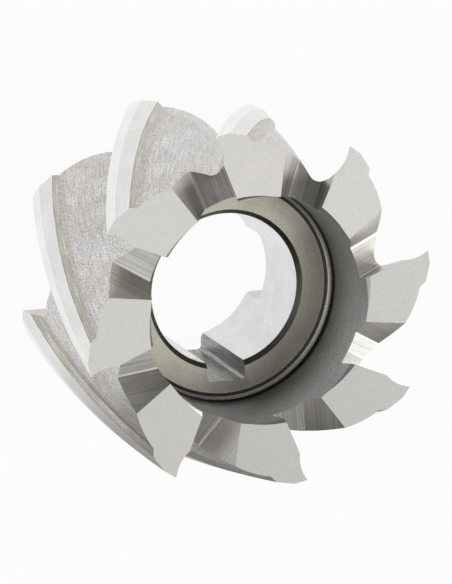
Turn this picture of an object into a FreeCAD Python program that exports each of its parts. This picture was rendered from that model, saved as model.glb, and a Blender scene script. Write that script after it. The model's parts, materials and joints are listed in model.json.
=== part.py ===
import FreeCAD, Part
import math
import os

from FreeCAD import Vector

os.makedirs("parts", exist_ok=True)

# A shell end mill: a short hollow cutter with helical teeth round it and on its front face.
# The origin is the middle of the flat back face, and +Z points along the tool to the front.
# The keyway points to -Y and the drive slot runs along X.
# Lengths are in mm and angles in degrees.

# overall
cutting_diameter = 63.0
overall_length = 40.0
tooth_count = 8
helix_angle = 30.0              # right-hand
first_tooth_angle = 105.5       # the first tooth's corner on the front face, from +X

# teeth on the outside, in a section square to the axis
land_width = 2.3                # narrow ground band behind the cutting edge
land_relief = 4.1               # its fall away from the tip's tangent
second_land_width = 3.1         # steeper band behind it
second_land_relief = 26.0
step_height = 1.4               # short wall below the second band
step_relief = 64.0
back_radius = 16.3              # rounded back, from the step down into the flute
rake_angle = 21.5               # lean of the cutting face at the tip, from the radius
rake_hollow_radius = 6.9        # hollow of the cutting face
flute_depth = 7.7               # from the circle of the tips to the bottom of the flutes
flute_radius = 2.2              # round bottom of a flute

# teeth on the front face
face_relief = 5.1               # fall of the face behind its cutting edge
face_dish = 1.15                # fall of that edge towards the middle

# ground gap in front of each tooth of the front face
gash_corner_inset = 5.5         # from the tip to where it meets the flute on the cutting edge
gash_lead = 0.1                 # how far behind the tip's radius it lies there
gash_rake = 15.0                # its cutting side leans back under the edge
gash_floor_width = 6.0
gash_depth = 4.0                # below the tips, where the floor meets the counterbore
gash_tilt = 24.0                # fall of the floor towards the outside
gash_slope = 46.0               # its far side, from level
gash_corner = 0.3               # round corners along both sides of the floor

# bore, and the counterbore that takes the head of the screw
bore_diameter = 27.0
bore_length = 22.5              # from the back face to the floor of the counterbore
back_chamfer = 1.0              # edge of the bore on the back face
front_chamfer = 0.8             # edge of the bore on the floor of the counterbore
counterbore_diameter = 39.3
counterbore_fillet = 1.35
mouth_chamfer = 0.9

# keyway in the bore
keyway_width = 7.0
keyway_depth = 2.8              # below the wall of the bore, on its middle line
keyway_corner = 0.6

# slot across the back face
drive_slot_width = 12.4
drive_slot_depth = 7.0
drive_slot_corner = 0.6

# helpers for the cutters
beyond = 4.0                    # how far a cutter runs out past what it cuts
face_cutter_lead = 3.0          # how far ahead of a tip the cutter of its face starts
same_place = 0.001              # points closer than this are one point

tip_radius = cutting_diameter / 2.0
core_radius = tip_radius - flute_depth
bore_radius = bore_diameter / 2.0
counterbore_radius = counterbore_diameter / 2.0
tooth_pitch = 360.0 / tooth_count
twist = math.degrees(overall_length * math.tan(math.radians(helix_angle)) / tip_radius)
up = Vector(0, 0, 1)


def flat(length, angle):
    """Vector in the section, from its length and its angle from +X."""
    return Vector(length * math.cos(math.radians(angle)), length * math.sin(math.radians(angle)), 0)


def turned(point, angle):
    """Point turned about the axis."""
    return FreeCAD.Rotation(up, angle).multVec(point)


def meeting(first, first_distance, second, second_distance):
    """Point at given distances from two others, on the right of the way from the first to the second."""
    way = second - first
    gap = way.Length
    along = (first_distance ** 2 - second_distance ** 2 + gap ** 2) / (2.0 * gap)
    across = math.sqrt(first_distance ** 2 - along ** 2)
    way.normalize()
    return first + way * along + turned(way, -90) * across


def towards(start, end, distance):
    """Point at a distance from start on the way to end."""
    way = end - start
    way.normalize()
    return start + way * distance


def arc(centre, start, end):
    """Shorter arc about centre from start to end."""
    middle = (start + end) * 0.5
    return Part.Arc(start, towards(centre, middle, (start - centre).Length), end).toShape()


def tooth_outline():
    """Edges of one tooth in the section, tip on +X, then the flute up to the next tip behind it."""
    tip = Vector(tip_radius, 0, 0)
    land_end = tip + flat(land_width, -90 - land_relief)
    second_end = land_end + flat(second_land_width, -90 - second_land_relief)
    step_foot = second_end + flat(step_height, -90 - step_relief)

    next_tip = turned(tip, -tooth_pitch)
    rake_centre = next_tip + flat(rake_hollow_radius, 90 + rake_angle - tooth_pitch)
    root_centre = meeting(
        Vector(), core_radius + flute_radius, rake_centre, rake_hollow_radius - flute_radius)
    back_centre = meeting(step_foot, back_radius, root_centre, back_radius + flute_radius)

    back_end = towards(root_centre, back_centre, flute_radius)
    rake_foot = towards(rake_centre, root_centre, rake_hollow_radius)
    deepest = towards(root_centre, Vector(), flute_radius)
    return [
        Part.LineSegment(tip, land_end).toShape(),
        Part.LineSegment(land_end, second_end).toShape(),
        Part.LineSegment(second_end, step_foot).toShape(),
        arc(back_centre, step_foot, back_end),
        Part.Arc(back_end, deepest, rake_foot).toShape(),
        arc(rake_centre, rake_foot, next_tip),
    ]


def toothed_body():
    """Section of all the teeth, swept along the axis with the twist of the helix."""
    edges = []
    for tooth in range(tooth_count):
        for edge in tooth_outline():
            turned_edge = edge.copy()
            turned_edge.rotate(Vector(), up, -tooth_pitch * tooth)
            edges.append(turned_edge)
    section = Part.Wire(Part.__sortEdges__(edges))
    section.rotate(Vector(), up, first_tooth_angle - twist)
    axis = Part.Wire(Part.makeLine(Vector(), up * overall_length))
    turn_length = overall_length * 360.0 / twist
    guide = Part.Wire(Part.makeHelix(turn_length, overall_length, tip_radius))
    sweep = Part.BRepOffsetAPI.MakePipeShell(axis)
    sweep.setAuxiliarySpine(guide, True, 0)
    sweep.add(section)
    sweep.build()
    sweep.makeSolid()
    return sweep.shape()


def rounded_along(block, way, starts, radius):
    """Block with a radius on the edges that run the given way from the starts."""
    middles = [start + way * 0.5 for start in starts]
    edges = [edge for edge in block.Edges
             if any((edge.CenterOfMass - middle).Length < same_place for middle in middles)]
    return block.makeFillet(radius, edges)


def place_on_tooth(shape, tooth):
    """Shape made with its tooth's tip on +X, moved to the given tooth."""
    moved = shape.copy()
    moved.rotate(Vector(), up, first_tooth_angle - tooth_pitch * tooth)
    return moved


def face_cutter():
    """What is ground away above the face of a tooth whose tip is on +X."""
    def on_face(point):
        fall = math.tan(math.radians(face_relief)) * -point.y
        dish = math.tan(math.radians(face_dish)) * (tip_radius - point.x)
        return Vector(point.x, point.y, overall_length - fall - dish)

    reach = (tip_radius + beyond) / math.cos(math.radians(tooth_pitch / 2.0))
    corners = [
        on_face(Vector()),
        on_face(flat(reach, face_cutter_lead - tooth_pitch)),
        on_face(flat(reach, face_cutter_lead)),
    ]
    ground = Part.Face(Part.makePolygon(corners + corners[:1]))
    return ground.extrude(up * tip_radius)


def gash_cutter():
    """Ground gap in front of the face of a tooth whose tip is on +X."""
    fall = math.tan(math.radians(gash_tilt))
    lean = math.tan(math.radians(gash_rake))
    rise = math.tan(math.radians(gash_slope))
    start = bore_radius
    floor = overall_length - gash_depth + fall * (counterbore_radius - start)
    top = overall_length + fall * tip_radius + beyond
    # the cutting side passes through the corner between gash and flute on the cutting edge
    corner_height = overall_length + fall * (tip_radius - gash_corner_inset - start)
    foot = -gash_lead - lean * (corner_height - floor)
    floor_end = foot + gash_floor_width
    corners = [
        Vector(start, foot, floor),
        Vector(start, floor_end, floor),
        Vector(start, floor_end + (top - floor) / rise, top),
        Vector(start, foot + (top - floor) * lean, top),
    ]
    section = Part.Face(Part.makePolygon(corners + corners[:1]))
    way = Vector(1, 0, -fall) * (tip_radius + beyond - start)
    return rounded_along(section.extrude(way), way, corners[:2], gash_corner)


def bore_cutter():
    """Bore, counterbore and their edges, turned about the axis."""
    floor = bore_length
    mouth = overall_length - mouth_chamfer
    top = overall_length + beyond
    fillet_middle = counterbore_fillet * (1.0 - math.sqrt(0.5))
    below = [
        Vector(0, 0, -beyond),
        Vector(bore_radius + back_chamfer + beyond, 0, -beyond),
        Vector(bore_radius, 0, back_chamfer),
        Vector(bore_radius, 0, floor - front_chamfer),
        Vector(bore_radius + front_chamfer, 0, floor),
        Vector(counterbore_radius - counterbore_fillet, 0, floor),
    ]
    fillet = Part.Arc(
        below[-1],
        Vector(counterbore_radius - fillet_middle, 0, floor + fillet_middle),
        Vector(counterbore_radius, 0, floor + counterbore_fillet),
    ).toShape()
    above = [
        Vector(counterbore_radius, 0, floor + counterbore_fillet),
        Vector(counterbore_radius, 0, mouth),
        Vector(counterbore_radius + top - mouth, 0, top),
        Vector(0, 0, top),
        Vector(0, 0, -beyond),
    ]
    outline = Part.Wire(Part.makePolygon(below).Edges + [fillet] + Part.makePolygon(above).Edges)
    return Part.Face(outline).revolve(Vector(), up, 360)


def groove_cutter(width, depth, length, corner):
    """Groove along X, cut down from z = 0 to its depth, with round corners at its bottom."""
    outline = [
        Vector(0, -width / 2.0, beyond),
        Vector(0, -width / 2.0, -depth),
        Vector(0, width / 2.0, -depth),
        Vector(0, width / 2.0, beyond),
    ]
    section = Part.Face(Part.makePolygon(outline + outline[:1]))
    way = Vector(length, 0, 0)
    return rounded_along(section.extrude(way), way, outline[1:3], corner)


def keyway_cutter():
    """Keyway in the wall of the bore, from the back face into the counterbore."""
    length = bore_length + 2.0 * beyond
    groove = groove_cutter(keyway_width, bore_radius + keyway_depth, length, keyway_corner)
    groove.rotate(Vector(), Vector(0, 1, 0), -90)
    groove.rotate(Vector(), up, -90)
    return groove.translated(Vector(0, 0, -beyond))


def drive_slot_cutter():
    """Slot across the back face, through the teeth on both sides."""
    length = cutting_diameter + 2.0 * beyond
    groove = groove_cutter(drive_slot_width, drive_slot_depth, length, drive_slot_corner)
    groove.rotate(Vector(), Vector(1, 0, 0), 180)
    return groove.translated(Vector(-length / 2.0, 0, 0))


def cutter_body():
    """The whole tool as one solid."""
    body = toothed_body()
    body = body.cut(bore_cutter())
    body = body.cut([place_on_tooth(face_cutter(), tooth) for tooth in range(tooth_count)])
    body = body.cut([place_on_tooth(gash_cutter(), tooth) for tooth in range(tooth_count)])
    body = body.cut([keyway_cutter(), drive_slot_cutter()])
    return body


body = cutter_body()
body.exportStep("parts/cutter_body.step")
print("valid", body.isValid(), "solids", len(body.Solids), "faces", len(body.Faces))
print("volume cm3", round(body.Volume / 1000.0, 2), "box", body.BoundBox)
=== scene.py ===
import bpy
import json
import math
from mathutils import Matrix, Vector
from mathutils.geometry import intersect_sphere_sphere_2d


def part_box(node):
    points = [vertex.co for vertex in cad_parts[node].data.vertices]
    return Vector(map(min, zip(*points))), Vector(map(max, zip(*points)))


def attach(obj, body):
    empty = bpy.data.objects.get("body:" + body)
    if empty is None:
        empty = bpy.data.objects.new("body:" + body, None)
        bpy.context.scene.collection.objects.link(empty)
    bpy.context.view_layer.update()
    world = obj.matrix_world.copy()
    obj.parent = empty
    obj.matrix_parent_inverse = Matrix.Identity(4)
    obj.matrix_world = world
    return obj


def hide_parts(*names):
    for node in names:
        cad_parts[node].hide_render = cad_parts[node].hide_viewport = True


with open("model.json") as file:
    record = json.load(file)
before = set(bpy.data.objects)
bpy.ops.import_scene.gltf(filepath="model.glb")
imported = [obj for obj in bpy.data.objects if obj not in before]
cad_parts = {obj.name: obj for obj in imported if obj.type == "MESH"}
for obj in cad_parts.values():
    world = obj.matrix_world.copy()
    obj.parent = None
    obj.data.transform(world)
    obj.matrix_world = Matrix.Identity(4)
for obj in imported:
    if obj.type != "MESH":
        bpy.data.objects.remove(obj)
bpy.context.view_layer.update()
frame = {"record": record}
print("frame loaded")

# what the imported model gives, in metres
mm = 0.001
lowCorner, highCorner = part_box("cutter_body")
mounts = {mount["name"]: mount for mount in frame["record"]["mounts"]}
toolLength = highCorner.z
tipRadius = (highCorner.x - lowCorner.x) / 2
boreRadius = mounts["arbor_bore"]["dims"]["r_mm"] * mm
recessRadius = mounts["counterbore"]["dims"]["r_mm"] * mm
recessFloor = mounts["screw_seat"]["pos_m"][2]
slotDepth = mounts["drive_slot"]["pos_m"][2]
keywayReach = -mounts["keyway"]["pos_m"][1]
past = 4 * mm                # how far a cutter runs out past what it cuts
samePlace = 0.001 * mm       # points closer than this are merged
nearby = 0.01 * mm           # a place measured on a mesh may be this far out


# small modelling helpers

def polar(length, degrees):
    return Vector((math.cos(math.radians(degrees)), math.sin(math.radians(degrees)), 0)) * length


def turned(point, degrees):
    return Matrix.Rotation(math.radians(degrees), 3, "Z") @ point


def towards(start, end, distance):
    return start + (end - start).normalized() * distance


def meeting(first, firstDistance, second, secondDistance):
    # the point at both distances that lies right of the way from the first to the second
    found = intersect_sphere_sphere_2d(first.xy, firstDistance, second.xy, secondDistance)
    way = second - first
    for point in found:
        if way.cross(point.to_3d() - first).z < 0:
            return point.to_3d()


def selectNothing():
    bpy.ops.object.select_all(action="DESELECT")


def selectOnly(piece):
    selectNothing()
    piece.select_set(True)
    bpy.context.view_layer.objects.active = piece


def startOutline(name, point):
    # a plane merged to one vertex, from which the outline is drawn
    selectNothing()
    bpy.ops.mesh.primitive_plane_add(size=mm)
    piece = bpy.context.object
    piece.name = piece.data.name = name
    bpy.ops.object.mode_set(mode="EDIT")
    bpy.ops.mesh.select_mode(type="VERT")
    bpy.ops.mesh.select_all(action="SELECT")
    bpy.ops.mesh.merge(type="CENTER")
    bpy.ops.transform.translate(value=point)
    return piece


def lineTo(start, end):
    bpy.ops.mesh.extrude_region_move(TRANSFORM_OT_translate={"value": end - start})


def arcTo(centre, start, end, steps, axis=Vector((0, 0, 1))):
    first, last = start - centre, end - centre
    # spin turns a positive angle clockwise
    angle = -math.atan2(first.cross(last).dot(axis), first.dot(last))
    bpy.ops.mesh.spin(steps=steps, angle=angle, center=centre, axis=axis)


def drawOutline(name, points):
    piece = startOutline(name, points[0])
    for start, end in zip(points, points[1:]):
        lineTo(start, end)
    return piece


def fillAndExtrude(way):
    bpy.ops.mesh.select_all(action="SELECT")
    bpy.ops.mesh.edge_face_add()
    bpy.ops.mesh.extrude_region_move(TRANSFORM_OT_translate={"value": way})


def closeShape(reach=samePlace):
    # merges the points that lie within reach of each other, and turns the faces outwards
    bpy.ops.mesh.select_all(action="SELECT")
    bpy.ops.mesh.remove_doubles(threshold=reach)
    bpy.ops.mesh.normals_make_consistent(inside=False)
    bpy.ops.object.mode_set(mode="OBJECT")


def bevelEdges(piece, middles, offset, segments):
    # bevels the edges whose middles lie at the given points
    bpy.ops.object.mode_set(mode="OBJECT")
    for edge in piece.data.edges:
        ends = [piece.data.vertices[i].co for i in edge.vertices]
        middle = (ends[0] + ends[1]) / 2
        edge.select = any((middle - point).length < nearby for point in middles)
    for vertex in piece.data.vertices:
        vertex.select = False
    for edge in piece.data.edges:
        if edge.select:
            for i in edge.vertices:
                piece.data.vertices[i].select = True
    for face in piece.data.polygons:
        face.select = False
    bpy.ops.object.mode_set(mode="EDIT")
    bpy.ops.mesh.select_mode(type="EDGE")
    bpy.ops.mesh.bevel(offset=offset, offset_type="OFFSET", segments=segments, affect="EDGES")


def applyModifier(piece, modifier):
    bpy.context.view_layer.objects.active = piece
    bpy.ops.object.modifier_apply(modifier=modifier.name)


def copiesRound(piece, count):
    # the piece and its copies, evenly spaced round the axis, clockwise from the front
    pieces = [piece]
    for place in range(1, count):
        selectOnly(piece)
        bpy.ops.object.duplicate()
        copy = bpy.context.object
        copy.rotation_euler.z = -2 * math.pi * place / count
        bpy.ops.object.transform_apply(location=True, rotation=True, scale=True)
        pieces.append(copy)
    return pieces


def cutAway(body, cutters):
    group = bpy.data.collections.new("cutters")
    bpy.context.scene.collection.children.link(group)
    for cutter in cutters:
        group.objects.link(cutter)
    modifier = body.modifiers.new("cut", "BOOLEAN")
    modifier.operation = "DIFFERENCE"
    modifier.solver = "MANIFOLD"
    modifier.material_mode = "TRANSFER"
    modifier.operand_type = "COLLECTION"
    modifier.collection = group
    applyModifier(body, modifier)
    bpy.data.collections.remove(group)
    for cutter in cutters:
        bpy.data.objects.remove(cutter)


def setMaterials(piece, pick, materials):
    # pick gives the name of a face's material from its middle and its normal
    names = list(materials)
    for name in names:
        piece.data.materials.append(materials[name])
    for face in piece.data.polygons:
        face.material_index = names.index(pick(face.center, face.normal))


# shader helpers

def addNode(tree, kind, settings=None, inputs=None):
    # inputs are values, or the sockets that feed them
    node = tree.nodes.new("ShaderNode" + kind)
    for name, value in (settings or {}).items():
        setattr(node, name, value)
    for key, value in (inputs or {}).items():
        if isinstance(value, bpy.types.NodeSocket):
            tree.links.new(value, node.inputs[key])
        else:
            node.inputs[key].default_value = value
    return node


def maths(tree, operation, first, second=0.0):
    return addNode(tree, "Math", {"operation": operation}, {0: first, 1: second}).outputs[0]


def remap(tree, value, fromLow, fromHigh, toLow, toHigh):
    ends = {"Value": value, "From Min": fromLow, "From Max": fromHigh, "To Min": toLow, "To Max": toHigh}
    return addNode(tree, "MapRange", {"interpolation_type": "SMOOTHSTEP"}, ends).outputs["Result"]


# the steel, as each tool of the shop leaves it, with painted highlights and painted shade along some edges
# and corners

# Lengths are in mm. A line is one scratch or streak, and grains are fine and even.
# Tones say how much of the colour a line, a grain or a cloud takes or adds, and detail is
# the number of finer noises in each and how strong one is beside the last.
finish = {
    "course": "uv",
    "colour": (0.65, 0.64, 0.62),
    "tint": (0.62, 0.6, 0.56),
    "tintEdges": (0.35, 0.65),  # the clouds' level where the tint starts, and where it is full
    "roughness": 0.25,
    "roughSpread": 0.1,
    "lineSize": (8, 0.2),
    "lineTurn": 0,
    "lineTone": 0.1,
    "lineDepth": 0.004,
    "lineDetail": (3, 0.6),
    "grainSize": 0.3,
    "grainTone": 0.06,
    "grainDepth": 0.002,
    "grainDetail": (2, 0.6),
    "cloudSize": 7,
    "cloudTone": 0.08,
    "cloudDetail": (2, 0.5),
    "bands": (),                # across the lines: middle, width and colour of each narrow band
    "bandEdges": (0.3, 0.7),    # where a band starts to fade, and is gone, as shares of its width
}
# painted highlight along sharp edges, standing in for the glint of their tiny bevels
paintedEdgeHighlight = (0.95, 0.95, 0.94)
# painted shade for the narrow dark lines beside the recess's fillet
paintedShadeLine = (0.06, 0.055, 0.05)


def millimetres(tree, source):
    return addNode(tree, "VectorMath", {"operation": "SCALE"}, {0: source, "Scale": 1 / mm}).outputs[0]


def courseOfLines(tree, course, place):
    # X runs along the lines and Y across them
    if course == "uv":
        return addNode(tree, "UVMap", {"uv_map": "grain"}).outputs[0]
    split = addNode(tree, "SeparateXYZ", {}, {0: place}).outputs
    if course == "round":
        flatPlace = addNode(tree, "CombineXYZ", {}, {0: split["X"], 1: split["Y"]}).outputs[0]
        radius = addNode(tree, "VectorMath", {"operation": "LENGTH"}, {0: flatPlace}).outputs["Value"]
        across = maths(tree, "ADD", radius, split["Z"])
        return addNode(tree, "CombineXYZ", {}, {0: split["X"], 1: across, 2: split["Y"]}).outputs[0]
    # in a groove they run along it, on its walls and on its bottom
    along, *others = {"alongX": "XYZ", "alongZ": "ZXY"}[course]
    across = maths(tree, "ADD", split[others[0]], split[others[1]])
    return addNode(tree, "CombineXYZ", {}, {0: split[along], 1: across}).outputs[0]


def mixColours(tree, factor, first, second):
    return addNode(tree, "Mix", {"data_type": "RGBA"}, {0: factor, 6: first, 7: second}).outputs[2]


def noise(tree, vector, scale, detail):
    finer, strength = detail
    values = {"Vector": vector, "Scale": scale, "Detail": finer, "Roughness": strength}
    return addNode(tree, "TexNoise", {}, values).outputs["Fac"]


def steelFinish(name, changes):
    values = {**finish, **changes}
    material = bpy.data.materials.new(name)
    material.use_nodes = True
    tree = material.node_tree
    place = millimetres(tree, addNode(tree, "TexCoord").outputs["Object"])
    course = courseOfLines(tree, values["course"], place)
    length, width = values["lineSize"]
    turn = math.radians(values["lineTurn"])
    stretched = addNode(tree, "Mapping", {"vector_type": "TEXTURE"}, {
        "Vector": course, "Rotation": (0, 0, turn), "Scale": (length, width, length)}).outputs[0]
    lines = noise(tree, stretched, 1, values["lineDetail"])
    grains = noise(tree, place, 1 / values["grainSize"], values["grainDetail"])
    clouds = noise(tree, place, 1 / values["cloudSize"], values["cloudDetail"])

    # the noises lie about 0.5, so a tone takes as much in one place as it adds in another
    tones = ((lines, values["lineTone"]), (grains, values["grainTone"]), (clouds, values["cloudTone"]))
    shade = 1 - sum(tone for socket, tone in tones)
    for socket, tone in tones:
        shade = maths(tree, "ADD", maths(tree, "MULTIPLY", socket, 2 * tone), shade)
    patches = remap(tree, clouds, *values["tintEdges"], 0, 1)
    colour = mixColours(tree, patches, (*values["colour"], 1), (*values["tint"], 1))
    fading, gone = values["bandEdges"]
    # a band paints its colour over the finish; most bands are painted highlights and painted shade
    for middle, bandWidth, bandColour in values["bands"]:
        across = addNode(tree, "SeparateXYZ", {}, {0: course}).outputs["Y"]
        away = maths(tree, "ABSOLUTE", maths(tree, "SUBTRACT", across, middle))
        covered = remap(tree, away, fading * bandWidth, gone * bandWidth, 1, 0)
        colour = mixColours(tree, covered, colour, (*bandColour, 1))
    colour = addNode(tree, "VectorMath", {"operation": "SCALE"}, {0: colour, "Scale": shade}).outputs[0]
    rough = maths(tree, "ADD", maths(tree, "MULTIPLY", grains, values["roughSpread"]),
                  values["roughness"] - values["roughSpread"] / 2)
    height = maths(tree, "ADD", maths(tree, "MULTIPLY", lines, values["lineDepth"]),
                   maths(tree, "MULTIPLY", grains, values["grainDepth"]))
    bump = addNode(tree, "Bump", {}, {"Strength": 1, "Distance": mm, "Height": height})

    shader = tree.nodes["Principled BSDF"]
    shader.inputs["Metallic"].default_value = 1
    tree.links.new(colour, shader.inputs["Base Color"])
    tree.links.new(rough, shader.inputs["Roughness"])
    tree.links.new(bump.outputs[0], shader.inputs["Normal"])
    return material


steel = {
    # the lands and second lands carry painted highlights along their edges
    "land": steelFinish("groundLand", {
        "colour": (0.9, 0.9, 0.9), "tint": (0.84, 0.84, 0.84), "roughness": 0.2,
        "lineTone": 0.15, "grainTone": 0.08, "cloudTone": 0.05, "bands": [(0, 0.2, paintedEdgeHighlight)]}),
    "secondLand": steelFinish("groundSecondLand", {
        "colour": (0.82, 0.82, 0.815), "tint": (0.74, 0.74, 0.73), "roughness": 0.22,
        "lineTone": 0.2, "grainTone": 0.12, "bands": [(0, 0.2, paintedEdgeHighlight), (3.1, 0.25, paintedEdgeHighlight)]}),
    "step": steelFinish("milledStep", {
        "colour": (0.58, 0.56, 0.5), "tint": (0.52, 0.5, 0.445), "roughness": 0.32,
        "lineSize": (7, 0.25), "lineTone": 0.8, "grainTone": 0.5,
        "bands": [(0.1, 0.5, (0.48, 0.46, 0.4))]}),
    "back": steelFinish("milledBack", {
        "colour": (0.67, 0.655, 0.64), "tint": (0.55, 0.53, 0.495), "roughness": 0.3, "roughSpread": 0.2,
        "lineSize": (7, 0.18), "lineTone": 0.8, "lineDepth": 0.025,
        "grainTone": 0.9, "grainDepth": 0.016, "cloudTone": 0.15,
        "bands": [(-22.6, 2.6, (0.54, 0.515, 0.475))]}),
    "rake": steelFinish("groundRake", {
        "colour": (0.8, 0.79, 0.77), "tint": (0.74, 0.73, 0.71), "roughness": 0.28, "lineTone": 0.4}),
    # the end faces carry a painted highlight along their cutting edge
    "endFace": steelFinish("groundEndFace", {
        "colour": (0.64, 0.63, 0.605), "tint": (0.61, 0.595, 0.565), "roughSpread": 0.05,
        "lineSize": (12, 0.4), "lineTurn": 35, "lineTone": 0.06, "lineDepth": 0.0006,
        "grainTone": 0.12, "grainDepth": 0.001, "cloudTone": 0.12, "bands": [(0, 0.25, paintedEdgeHighlight)]}),
    # the floor of a gash ends in a painted highlight along its fillet
    "gash": steelFinish("groundGash", {
        "colour": (0.66, 0.65, 0.62), "tint": (0.58, 0.565, 0.535), "roughness": 0.3,
        "lineSize": (25, 0.45), "lineTone": 0.6, "lineDepth": 0.002, "grainTone": 0.1, "cloudTone": 0.1,
        "bands": [(48.75, 0.55, (0.9, 0.88, 0.84))]}),
    # painted light: its far side is painted lighter towards the end face, and its near side has painted
    # shade at its foot
    "gashSlope": steelFinish("groundGashSlope", {
        "colour": (0.65, 0.635, 0.59), "tint": (0.58, 0.56, 0.515), "roughness": 0.36,
        "lineSize": (25, 0.35), "lineTone": 0.55, "lineDepth": 0.003, "grainTone": 0.1, "cloudTone": 0.1,
        "bands": [(61, 13, (0.86, 0.84, 0.8))]}),
    "gashRake": steelFinish("groundGashRake", {
        "colour": (0.85, 0.84, 0.81), "tint": (0.8, 0.785, 0.75), "roughness": 0.4,
        "lineSize": (14, 0.2), "lineTone": 0.5, "lineDepth": 0.003, "grainTone": 0.1, "cloudTone": 0.1,
        "bands": [(43.1, 1.2, (0.2, 0.19, 0.175))]}),
    "mouth": steelFinish("groundMouth", {
        "course": "round", "colour": (0.85, 0.84, 0.81), "tint": (0.8, 0.79, 0.76), "roughness": 0.3}),
    "ring": steelFinish("turnedRing", {
        "course": "round", "colour": (0.55, 0.525, 0.445), "tint": (0.455, 0.435, 0.37), "roughness": 0.34,
        "lineSize": (12, 0.4), "lineTone": 0.15, "grainTone": 0.4, "grainDepth": 0.008}),
    # the fillet at the foot of the wall has a painted highlight between two lines of painted shade
    "recess": steelFinish("turnedRecess", {
        "course": "round", "colour": (0.37, 0.37, 0.36), "tint": (0.31, 0.31, 0.305), "roughness": 0.38,
        "lineSize": (12, 0.4), "lineTone": 0.15, "grainTone": 0.7, "grainDepth": 0.015,
        "bands": [(41.25, 1.3, paintedShadeLine), (43.5, 1.5, paintedShadeLine), (42.35, 1, (0.98, 0.96, 0.9))]}),
    "boreEdge": steelFinish("turnedBoreEdge", {
        "course": "round", "colour": (0.235, 0.225, 0.195), "tint": (0.2, 0.19, 0.165), "roughness": 0.3,
        "lineTone": 0.5}),
    "bore": steelFinish("groundBore", {
        "course": "round", "colour": (0.8, 0.8, 0.795), "tint": (0.68, 0.68, 0.675),
        "lineTone": 0.08, "lineDepth": 0.001, "grainTone": 0.2, "cloudSize": 4, "cloudTone": 0.2}),
    "keyway": steelFinish("broachedKeyway", {
        "course": "alongZ", "colour": (0.36, 0.36, 0.355), "tint": (0.29, 0.29, 0.285), "roughness": 0.33,
        "lineSize": (8, 0.4), "lineTone": 1.2, "grainTone": 0.9, "grainSize": 0.35, "grainDepth": 0.025}),
    "slot": steelFinish("milledSlot", {
        "course": "alongX", "colour": (0.6, 0.6, 0.6), "roughness": 0.3,
        "lineTone": 0.15, "grainTone": 0.1}),
    "backFace": steelFinish("groundBackFace", {
        "course": "round", "colour": (0.66, 0.65, 0.63), "roughness": 0.28, "lineTone": 0.12}),
}


# the cutter body: helical teeth, swept from one section

teeth = {
    "count": 8,
    "helixAngle": 30,
    "firstAngle": 105.5,     # the first tooth's corner on the front, from +X
    "landWidth": 2.3 * mm,
    "landRelief": 4.1,
    "secondLandWidth": 3.1 * mm,
    "secondLandRelief": 26,
    "stepHeight": 1.4 * mm,
    "stepRelief": 64,
    "backRadius": 16.3 * mm,
    "rakeAngle": 21.5,
    "rakeHollow": 6.9 * mm,
    "fluteDepth": 7.7 * mm,
    "fluteRadius": 2.2 * mm,
    "backSteps": 12,
    "fluteSteps": 14,
    "rakeSteps": 10,
    "slices": 82,
    "over": 1 * mm,          # the sweep runs this far past the front, to be ground off
    "endFacing": 0.9,        # a face that points further up or down is an end of the sweep
    "landReach": 0.1 * mm,   # the middles of a land's faces lie within this of its own
    "rakeReach": 0.02 * mm,  # and those of the cutting face within this of its arc
    "grainShift": 40,        # mm along the lines from one tooth's pattern to the next
}
pitch = 360 / teeth["count"]
twistRate = math.tan(math.radians(teeth["helixAngle"])) / tipRadius
backAngle = teeth["firstAngle"] - math.degrees(twistRate * toolLength)


def toothCorners():
    tip = Vector((tipRadius, 0, 0))
    landEnd = tip + polar(teeth["landWidth"], -90 - teeth["landRelief"])
    secondEnd = landEnd + polar(teeth["secondLandWidth"], -90 - teeth["secondLandRelief"])
    stepFoot = secondEnd + polar(teeth["stepHeight"], -90 - teeth["stepRelief"])
    nextTip = turned(tip, -pitch)
    hollow, flute, back = teeth["rakeHollow"], teeth["fluteRadius"], teeth["backRadius"]
    rakeCentre = nextTip + polar(hollow, 90 + teeth["rakeAngle"] - pitch)
    coreRadius = tipRadius - teeth["fluteDepth"]
    rootCentre = meeting(Vector(), coreRadius + flute, rakeCentre, hollow - flute)
    backCentre = meeting(stepFoot, back, rootCentre, back + flute)
    return {
        "tip": tip, "landEnd": landEnd, "secondEnd": secondEnd, "stepFoot": stepFoot,
        "backCentre": backCentre, "backEnd": towards(rootCentre, backCentre, flute),
        "rootCentre": rootCentre, "deepest": towards(rootCentre, Vector(), flute),
        "rakeFoot": towards(rakeCentre, rootCentre, hollow),
        "rakeCentre": rakeCentre, "nextTip": nextTip,
    }


corners = toothCorners()


def drawTooth(angle):
    at = {name: turned(point, angle) for name, point in corners.items()}
    lineTo(at["tip"], at["landEnd"])
    lineTo(at["landEnd"], at["secondEnd"])
    lineTo(at["secondEnd"], at["stepFoot"])
    half = teeth["fluteSteps"] // 2
    arcTo(at["backCentre"], at["stepFoot"], at["backEnd"], teeth["backSteps"])
    arcTo(at["rootCentre"], at["backEnd"], at["deepest"], half)
    arcTo(at["rootCentre"], at["deepest"], at["rakeFoot"], half)
    arcTo(at["rakeCentre"], at["rakeFoot"], at["nextTip"], teeth["rakeSteps"])


def toothAt(point, tipAngle, offset):
    # the tooth whose tip, turned on by the offset, is nearest
    azimuth = math.degrees(math.atan2(point.y, point.x))
    return round((tipAngle + offset - azimuth) / pitch)


def tipAngleAt(height):
    return backAngle + math.degrees(twistRate * height)


def inSection(point, tooth):
    # the point unwound along the helix to the section of a tooth whose tip is on +X
    flat = Vector((point.x, point.y, 0))
    return turned(flat, pitch * tooth - tipAngleAt(point.z))


landBands = {
    "land": ("tip", "landEnd"),
    "secondLand": ("landEnd", "secondEnd"),
    "step": ("secondEnd", "stepFoot"),
}
# degrees from a tooth's tip to the middle of the stretch that a zone can lie in
frontOffsets = {"endFace": -pitch / 4, "gash": pitch / 4, "gashSlope": pitch / 4, "gashRake": 0}
outsideOffsets = {
    "land": -pitch / 2,
    "secondLand": -pitch / 2,
    "step": -pitch / 2,
    "back": -pitch / 2,
    "rake": -pitch / 8,
}


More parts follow.
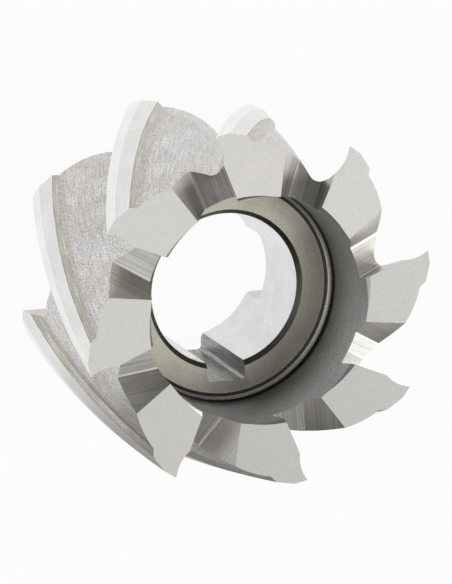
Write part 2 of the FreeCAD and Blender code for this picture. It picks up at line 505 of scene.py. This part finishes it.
def fluteZone(middle, normal):
    if abs(normal.z) > teeth["endFacing"]:
        return "backFace"
    tipAngle = tipAngleAt(middle.z)
    place = inSection(middle, toothAt(middle, tipAngle, outsideOffsets["land"]))
    for zone, (start, end) in landBands.items():
        if (place - (corners[start] + corners[end]) / 2).length < teeth["landReach"]:
            return zone
    # a cutting face was drawn with the tooth before its own
    before = inSection(middle, toothAt(middle, tipAngle, outsideOffsets["rake"]) - 1)
    if abs((before - corners["rakeCentre"]).length - teeth["rakeHollow"]) < teeth["rakeReach"]:
        return "rake"
    return "back"


def grainPoint(zone, tooth, point):
    # how far the point lies along and across the lines that the tool left on its zone
    if zone in frontOffsets:
        place = turned(point, pitch * tooth - teeth["firstAngle"])
        along, across = place.x, place.y
        if zone != "endFace":
            across += place.z + math.tan(math.radians(front["gashTilt"])) * place.x
    else:
        place = inSection(point, tooth)
        along = point.z / math.cos(math.radians(teeth["helixAngle"]))
        if zone in landBands:
            across = (place - corners[landBands[zone][0]]).length
        elif zone == "rake":
            across = place.length
        else:
            across = -tipRadius * math.atan2(place.y, place.x) - place.length
    return (along / mm + teeth["grainShift"] * tooth, across / mm)


def layGrain(piece):
    zoneOf = {material.name: zone for zone, material in steel.items()}
    zones = [zoneOf[material.name] for material in piece.data.materials]
    piece.data.uv_layers.new(name="grain")
    layer = piece.data.uv_layers["grain"].data
    for face in piece.data.polygons:
        zone = zones[face.material_index]
        if zone in frontOffsets:
            tooth = toothAt(face.center, teeth["firstAngle"], frontOffsets[zone])
        elif zone in outsideOffsets:
            tooth = toothAt(face.center, tipAngleAt(face.center.z), outsideOffsets[zone])
        else:
            continue
        for corner in face.loop_indices:
            point = piece.data.vertices[piece.data.loops[corner].vertex_index].co
            layer[corner].uv = grainPoint(zone, tooth, point)


def sweepTeeth():
    body = startOutline("cutterBody", turned(corners["tip"], backAngle))
    for tooth in range(teeth["count"]):
        drawTooth(backAngle - pitch * tooth)
    closeShape()
    height = toolLength + teeth["over"]
    screw = body.modifiers.new("helix", "SCREW")
    screw.angle = twistRate * height
    screw.screw_offset = height
    screw.steps = screw.render_steps = teeth["slices"]
    applyModifier(body, screw)
    bpy.ops.object.mode_set(mode="EDIT")
    bpy.ops.mesh.select_all(action="SELECT")
    bpy.ops.mesh.fill_holes(sides=0)
    closeShape()
    setMaterials(body, fluteZone, steel)
    return body


# cutters for the front face: the relief of each tooth and the gash ahead of it

front = {
    "relief": 5.1,
    "dish": 1.15,
    "lead": 3,               # degrees by which a face's cutter starts ahead of its tip
    "gashCornerInset": 5.5 * mm,
    "gashLead": 0.1 * mm,
    "gashRake": 15,
    "gashFloorWidth": 6 * mm,
    "gashDepth": 4 * mm,
    "gashTilt": 24,
    "gashSlope": 46,
    "gashCorner": 0.3 * mm,
    "gashCornerSteps": 6,
    # how far the faces of the gash cutter's two sides point up: lowest and highest z of their normals
    "gashSides": {"gashRake": (0.1, 0.5), "gashSlope": (-0.7, -0.5)},
}


def reliefCutters():
    def onFace(point):
        fall = math.tan(math.radians(front["relief"])) * -point.y
        dish = math.tan(math.radians(front["dish"])) * (tipRadius - point.x)
        return Vector((point.x, point.y, toolLength - fall - dish))

    reach = (tipRadius + past) / math.cos(math.radians(pitch / 2))
    ahead, behind = polar(reach, front["lead"]), polar(reach, front["lead"] - pitch)
    triangle = [onFace(Vector()), onFace(behind), onFace(ahead)]
    cutter = drawOutline("reliefCutter", [turned(point, teeth["firstAngle"]) for point in triangle])
    fillAndExtrude(Vector((0, 0, tipRadius)))
    closeShape()
    cutter.data.materials.append(steel["endFace"])
    return copiesRound(cutter, teeth["count"])


def gashZone(middle, normal):
    for zone, (lowest, highest) in front["gashSides"].items():
        if lowest < normal.z < highest:
            return zone
    return "gash"


def gashCutters():
    fall = math.tan(math.radians(front["gashTilt"]))
    lean = math.tan(math.radians(front["gashRake"]))
    rise = math.tan(math.radians(front["gashSlope"]))
    start = boreRadius
    floor = toolLength - front["gashDepth"] + fall * (recessRadius - start)
    top = toolLength + fall * tipRadius + past
    cornerHeight = toolLength + fall * (tipRadius - front["gashCornerInset"] - start)
    foot = -front["gashLead"] - lean * (cornerHeight - floor)
    floorEnd = foot + front["gashFloorWidth"]
    section = [
        Vector((start, foot, floor)),
        Vector((start, floorEnd, floor)),
        Vector((start, floorEnd + (top - floor) / rise, top)),
        Vector((start, foot + (top - floor) * lean, top)),
    ]
    section = [turned(point, teeth["firstAngle"]) for point in section]
    way = turned(Vector((1, 0, -fall)), teeth["firstAngle"]) * (tipRadius + past - start)
    cutter = drawOutline("gashCutter", section)
    fillAndExtrude(way)
    closeShape()
    # a fillet's edge lies this far from the corner, from the angle between its two walls
    walls = {0: 90 - front["gashRake"], 1: 180 - front["gashSlope"]}
    for corner, angle in walls.items():
        offset = front["gashCorner"] / math.tan(math.radians(angle / 2))
        bevelEdges(cutter, [section[corner] + way / 2], offset, front["gashCornerSteps"])
    closeShape()
    setMaterials(cutter, gashZone, steel)
    return copiesRound(cutter, teeth["count"])


# cutter for the bore and the recess of the screw's head, spun about the axis

boring = {
    "backChamfer": 1 * mm,
    "frontChamfer": 0.8 * mm,
    "recessFillet": 1.35 * mm,
    "mouthChamfer": 0.9 * mm,
    "filletSteps": 12,
    "roundSteps": 240,
}


def boreZone(middle, normal):
    if middle.z > toolLength - boring["mouthChamfer"]:
        return "mouth"
    if middle.z > recessFloor + nearby:
        return "recess"
    if middle.z > recessFloor - nearby:
        return "ring"
    return "bore" if math.hypot(middle.x, middle.y) < boreRadius + nearby else "boreEdge"


def boreCutter():
    fillet = boring["recessFillet"]
    mouth = toolLength - boring["mouthChamfer"]
    top = toolLength + past
    below = [
        Vector((0, 0, -past)),
        Vector((boreRadius + boring["backChamfer"] + past, 0, -past)),
        Vector((boreRadius, 0, boring["backChamfer"])),
        Vector((boreRadius, 0, recessFloor - boring["frontChamfer"])),
        Vector((boreRadius + boring["frontChamfer"], 0, recessFloor)),
        Vector((recessRadius - fillet, 0, recessFloor)),
    ]
    above = [
        Vector((recessRadius, 0, recessFloor + fillet)),
        Vector((recessRadius, 0, mouth)),
        Vector((recessRadius + top - mouth, 0, top)),
        Vector((0, 0, top)),
    ]
    cutter = drawOutline("boreCutter", below)
    filletCentre = Vector((recessRadius - fillet, 0, recessFloor + fillet))
    arcTo(filletCentre, below[-1], above[0], boring["filletSteps"], Vector((0, 1, 0)))
    for start, end in zip(above, above[1:]):
        lineTo(start, end)
    bpy.ops.mesh.select_all(action="SELECT")
    bpy.ops.mesh.spin(steps=boring["roundSteps"], angle=2 * math.pi, center=(0, 0, 0), axis=(0, 0, 1))
    closeShape()
    setMaterials(cutter, boreZone, steel)
    return cutter


# cutters for the keyway and for the drive slot across the back

grooves = {
    "keywayWidth": 7 * mm,
    "keywayCorner": 0.6 * mm,
    "slotWidth": 12.4 * mm,
    "slotCorner": 0.6 * mm,
    "cornerSteps": 6,
}


def grooveCutter(name, outline, way, corner, material):
    cutter = drawOutline(name, outline)
    fillAndExtrude(way)
    closeShape()
    bevelEdges(cutter, [point + way / 2 for point in outline[1:3]], corner, grooves["cornerSteps"])
    closeShape()
    cutter.data.materials.append(material)
    return cutter


def keywayCutter():
    half = grooves["keywayWidth"] / 2
    outline = [
        Vector((-half, 0, -past)), Vector((-half, -keywayReach, -past)),
        Vector((half, -keywayReach, -past)), Vector((half, 0, -past)),
    ]
    way = Vector((0, 0, recessFloor + 2 * past))
    return grooveCutter("keywayCutter", outline, way, grooves["keywayCorner"], steel["keyway"])


def driveSlotCutter():
    half = grooves["slotWidth"] / 2
    end = -tipRadius - past
    outline = [
        Vector((end, -half, -past)), Vector((end, -half, slotDepth)),
        Vector((end, half, slotDepth)), Vector((end, half, -past)),
    ]
    way = Vector((-2 * end, 0, 0))
    return grooveCutter("driveSlotCutter", outline, way, grooves["slotCorner"], steel["slot"])


# the whole body

meshing = {
    "slivers": 0.004 * mm,   # the cuts leave slivers up to this wide where they meet
    "smoothAngle": 15,
}


def cleanMesh(body):
    selectOnly(body)
    bpy.ops.object.mode_set(mode="EDIT")
    closeShape(meshing["slivers"])
    bpy.ops.object.mode_set(mode="EDIT")
    bpy.ops.mesh.quads_convert_to_tris(ngon_method="BEAUTY")
    bpy.ops.object.mode_set(mode="OBJECT")


def makeBody():
    body = sweepTeeth()
    print("teeth swept", len(body.data.polygons))
    cutAway(body, [boreCutter()])
    print("bored", len(body.data.polygons))
    cutAway(body, reliefCutters())
    print("end faces ground", len(body.data.polygons))
    cutAway(body, gashCutters())
    print("gashes ground", len(body.data.polygons))
    cutAway(body, [keywayCutter()])
    cutAway(body, [driveSlotCutter()])
    print("keyway and slot milled", len(body.data.polygons))
    cleanMesh(body)
    layGrain(body)
    smoothAngle = math.radians(meshing["smoothAngle"])
    bpy.ops.object.shade_smooth_by_angle(angle=smoothAngle, keep_sharp_edges=True)
    print("body finished", len(body.data.polygons))
    return body


body = makeBody()
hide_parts("cutter_body")
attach(body, "root")


# floor, light and camera

studio = {
    "floorSize": 3,
    "floorWhite": 0.9,
    "floorRoughness": 0.9,
    "ownShade": 0.05,           # share of the floor that is lit, and so keeps the tool's shadow
    "litReach": (0.14, 0.32),   # metal sees a painted pool of light on the floor, bright up to here and dark from here on
    "dimSide": (-0.05, -0.01),  # and painted shade, dimmer towards -Y
    "dimmest": 0.38,
    "darkHorizon": 0.12,
    # where each soft light of the sky is, as azimuth and elevation, its brightness, and
    # the angles from there within which it is full, and from which it is gone
    "skyLights": {
        "overhead": {"at": (-80, 75), "brightness": 0.535, "full": 26, "gone": 48},
        "upperSide": {"at": (-8, 57), "brightness": 0.42, "full": 12, "gone": 34},
        "side": {"at": (-18, 12), "brightness": 1.5, "full": 23, "gone": 40},
        "back": {"at": (36, 8), "brightness": 2, "full": 8, "gone": 19},
        "left": {"at": (-165, 24), "brightness": 0.4, "full": 14, "gone": 36},
    },
    "keyPower": 0.27,
    "keySize": 0.5,
    "keyPlace": (-0.27, 0.125, 0.6),
}


def skyLight(tree, way, light):
    azimuth, elevation = (math.radians(angle) for angle in light["at"])
    level = math.cos(elevation)
    centre = (level * math.cos(azimuth), level * math.sin(azimuth), math.sin(elevation))
    near = addNode(tree, "VectorMath", {"operation": "DOT_PRODUCT"}, {0: way, 1: centre}).outputs["Value"]
    full, gone = (math.cos(math.radians(light[edge])) for edge in ("full", "gone"))
    return remap(tree, near, gone, full, 0, light["brightness"])


def makeFloor():
    selectNothing()
    bpy.ops.mesh.primitive_plane_add(size=studio["floorSize"])
    floor = bpy.context.object
    floor.name = floor.data.name = "studioFloor"
    material = bpy.data.materials.new("whiteFloor")
    material.use_nodes = True
    tree = material.node_tree
    white = studio["floorWhite"]
    shader = tree.nodes["Principled BSDF"]
    shader.inputs["Base Color"].default_value = (white, white, white, 1)
    shader.inputs["Roughness"].default_value = studio["floorRoughness"]
    path = addNode(tree, "LightPath")
    place = addNode(tree, "TexCoord").outputs["Object"]
    distance = addNode(tree, "VectorMath", {"operation": "LENGTH"}, {0: place}).outputs["Value"]
    # the floor glows for glossy rays, with a painted pool of light round the tool and painted shade
    # towards -Y
    near, far = studio["litReach"]
    side = addNode(tree, "SeparateXYZ", {}, {0: place}).outputs["Y"]
    dimmed = remap(tree, side, *studio["dimSide"], studio["dimmest"], 1)
    lit = remap(tree, distance, near, far, 1, studio["darkHorizon"])
    seenByMetal = maths(tree, "MULTIPLY", lit, dimmed)
    strength = maths(tree, "MAXIMUM", path.outputs["Is Camera Ray"], seenByMetal)
    glow = addNode(tree, "Emission", {}, {"Color": (1, 1, 1, 1), "Strength": strength})
    seen = maths(tree, "MAXIMUM", path.outputs["Is Camera Ray"], path.outputs["Is Glossy Ray"])
    share = maths(tree, "MULTIPLY", seen, 1 - studio["ownShade"])
    mix = addNode(tree, "MixShader", {}, {0: share, 1: shader.outputs[0], 2: glow.outputs[0]})
    tree.links.new(mix.outputs[0], tree.nodes["Material Output"].inputs["Surface"])
    floor.data.materials.append(material)


def makeLight():
    # a white sky over a dark horizon, as in a light tent that is open round its sides
    world = bpy.data.worlds.new("studioWorld")
    bpy.context.scene.world = world
    world.use_nodes = True
    tree = world.node_tree
    way = addNode(tree, "TexCoord").outputs["Generated"]
    sky = studio["darkHorizon"]
    for light in studio["skyLights"].values():
        sky = maths(tree, "ADD", skyLight(tree, way, light), sky)
    path = addNode(tree, "LightPath")
    strength = maths(tree, "MAXIMUM", path.outputs["Is Camera Ray"], sky)
    background = tree.nodes["Background"]
    background.inputs["Color"].default_value = (1, 1, 1, 1)
    tree.links.new(strength, background.inputs["Strength"])
    lamp = bpy.data.lights.new("key", "AREA")
    lamp.energy = studio["keyPower"]
    lamp.size = studio["keySize"]
    key = bpy.data.objects.new("key", lamp)
    key.location = studio["keyPlace"]
    key.rotation_euler = Vector(studio["keyPlace"]).to_track_quat("Z", "Y").to_euler()
    bpy.context.scene.collection.objects.link(key)


# the photograph's own view of the tool
lens = {
    "place": Vector((-158.607, 105.662, 443.942)) * mm,
    "right": Vector((0.936037, 0.001067, 0.351900)),
    "down": Vector((-0.079661, -0.973394, 0.214843)),
    "focal": 163.8,
    "sensor": 36,            # mm, along the photograph's long side
    "nearest": 0.01,         # nothing closer to the camera than this is seen
}


def makeCamera():
    data = bpy.data.cameras.new("camera")
    data.lens = lens["focal"]
    data.sensor_width = lens["sensor"]
    data.clip_start = lens["nearest"]
    camera = bpy.data.objects.new("camera", data)
    right = lens["right"].normalized()
    back = right.cross(-lens["down"]).normalized()
    camera.matrix_world = Matrix((
        (right.x, -lens["down"].x, back.x, lens["place"].x),
        (right.y, -lens["down"].y, back.y, lens["place"].y),
        (right.z, -lens["down"].z, back.z, lens["place"].z),
        (0, 0, 0, 1),
    ))
    bpy.context.scene.collection.objects.link(camera)
    bpy.context.scene.camera = camera


makeFloor()
makeLight()
makeCamera()
bpy.context.scene.view_settings.view_transform = "Standard"
print("stage ready")
